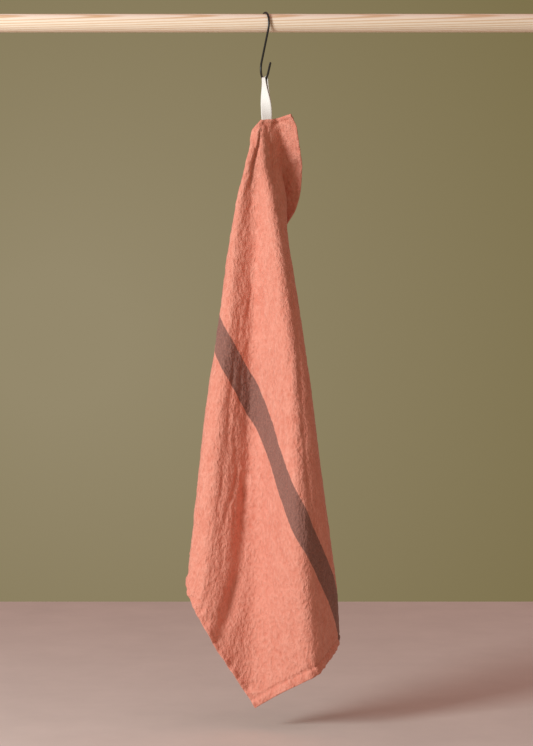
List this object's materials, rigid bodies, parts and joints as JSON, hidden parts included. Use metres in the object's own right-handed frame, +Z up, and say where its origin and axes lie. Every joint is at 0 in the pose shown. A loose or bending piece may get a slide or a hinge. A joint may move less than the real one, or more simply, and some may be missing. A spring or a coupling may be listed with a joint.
{
  "type": "tea towel hanging from an s hook on a wooden rail",
  "caption": "Washed cotton tea towel with a woven stripe, hung by a corner tape loop from a wire S-hook on a round wooden rail.",
  "frame": {"origin": "centre of the rail's left end face", "axes": "+X along the rail towards its right end, +Y away from the viewer towards the wall, +Z up"},
  "size_m": [0.9, 0.2459, 0.9902],
  "materials": {
    "washed_cotton": "crinkled terracotta pink cotton with a woven grey-brown stripe",
    "white_tape": "plain woven white cotton tape",
    "black_wire": "satin black",
    "pine": "bare sanded pine"
  },
  "bodies": {
    "root": {"towel": "washed_cotton", "hanging_loop": "white_tape", "s_hook": "black_wire", "rail": "pine"}
  },
  "joints": []
}
